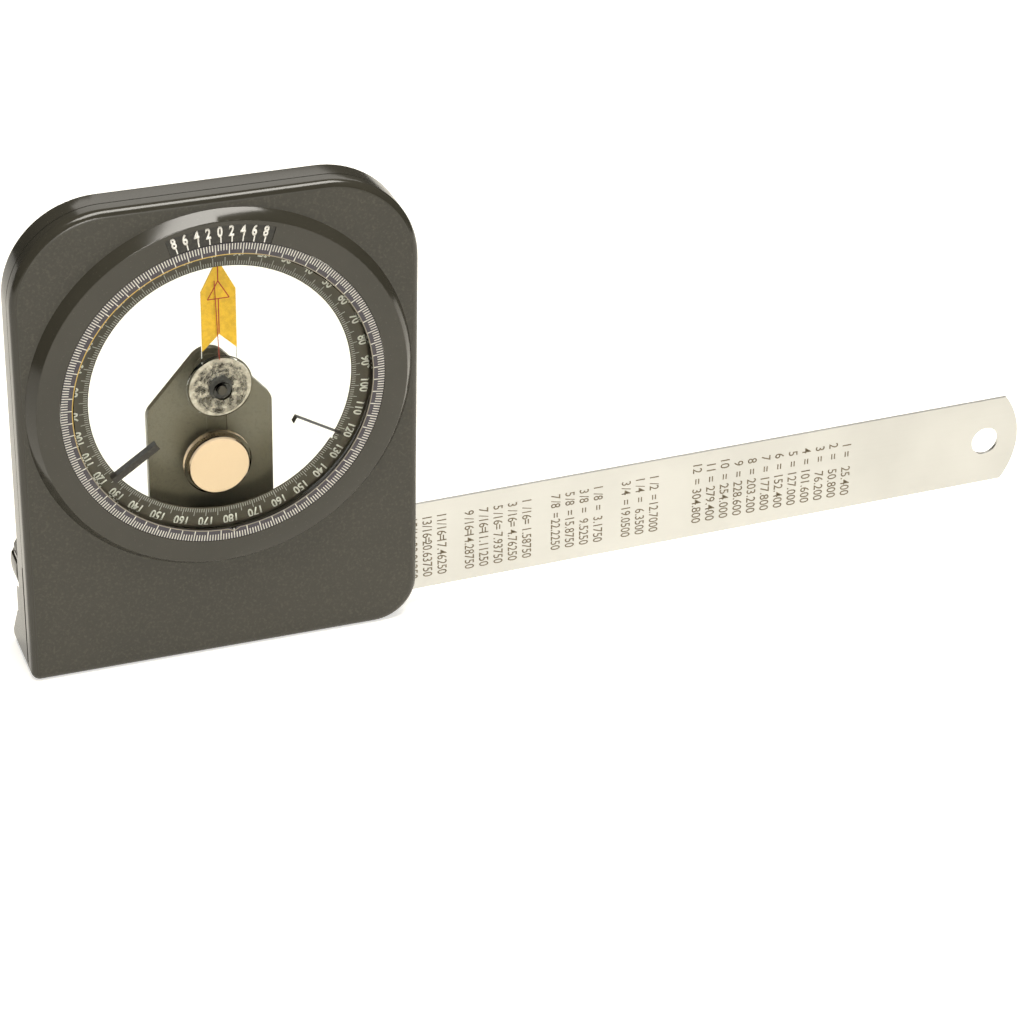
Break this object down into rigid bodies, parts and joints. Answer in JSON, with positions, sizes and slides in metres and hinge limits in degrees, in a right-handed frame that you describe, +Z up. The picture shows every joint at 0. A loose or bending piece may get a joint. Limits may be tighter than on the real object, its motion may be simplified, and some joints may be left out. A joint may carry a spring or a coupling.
{
  "type": "inclinometer",
  "caption": "Pendulum angle finder: a flat housing with a turning clear dial, a swinging weighted pointer and a sliding steel ruler that a rear thumb knob locks.",
  "frame": {"origin": "middle of the flat base, at the base mount's centre", "axes": "+X to the right of the dial and along the ruler, +Y from the dial towards the back, +Z up"},
  "size_m": [0.3267, 0.0285, 0.1502],
  "materials": {
    "housing_black": "fine grained black plastic",
    "vernier_black": "smooth black plate with white print",
    "screw_steel": "zinc plated",
    "spring_steel": "spring steel",
    "axle_steel": "turned steel",
    "clear_window": "clear plastic",
    "clear_wheel": "clear plastic",
    "clear_arm": "clear plastic",
    "bracket_black": "black plastic",
    "outer_scale": "printed film, degree ticks",
    "inner_scale": "printed film, degree numbers",
    "pointer_yellow": "yellow print with a red line",
    "weight_brass": "turned and polished",
    "bush_brass": "turned",
    "bush_black": "black bearing plastic",
    "ruler_steel": "satin steel with dark print",
    "knob_black": "black plastic",
    "pad_nylon": "natural nylon"
  },
  "bodies": {
    "housing": {"front_shell": "housing_black", "rear_shell": "housing_black", "vernier_plate": "vernier_black", "retaining_ring": "housing_black", "ring_screws": "screw_steel", "friction_springs": "spring_steel", "rear_window": "clear_window", "rear_bracket": "bracket_black", "bracket_screws": "screw_steel", "shell_screws": "screw_steel", "pivot_axle": "axle_steel", "axle_washer": "screw_steel", "axle_nut": "screw_steel", "lock_nut": "bush_brass"},
    "dial": {"dial_wheel": "clear_wheel", "outer_scale_ring": "outer_scale", "inner_dial_ring": "inner_scale"},
    "pendulum": {"pendulum_arm": "clear_arm", "pointer": "pointer_yellow", "brass_weight": "weight_brass", "pivot_bush": "bush_black"},
    "ruler": {"ruler": "ruler_steel"},
    "lock_pad": {"lock_pad": "pad_nylon"},
    "lock_knob": {"lock_knob": "knob_black", "lock_screw": "screw_steel"}
  },
  "joints": [
    {"name": "dial_turn", "type": "hinge", "parent": "housing", "child": "dial", "pos_m": [0, 0, 0.089], "axis": [0, 1, 0], "continuous": true},
    {"name": "pendulum_swing", "type": "hinge", "parent": "housing", "child": "pendulum", "pos_m": [0, 0, 0.089], "axis": [0, 1, 0], "continuous": true},
    {"name": "ruler_slide", "type": "slide", "parent": "housing", "child": "ruler", "axis": [0.9998, 0, 0.0183], "range_m": [-0.19, 0.005]},
    {"name": "lock_travel", "type": "slide", "parent": "housing", "child": "lock_pad", "axis": [0, -1, 0], "range_m": [0, 0.00025]},
    {"name": "lock_turn", "type": "hinge", "parent": "lock_pad", "child": "lock_knob", "pos_m": [-0.0462, 0, 0.03015], "axis": [0, -1, 0], "range_deg": [0, 128.6]}
  ],
  "couplings": [
    {"joint": "lock_turn", "follows": "lock_travel", "rad_per_m": 8977.9}
  ]
}
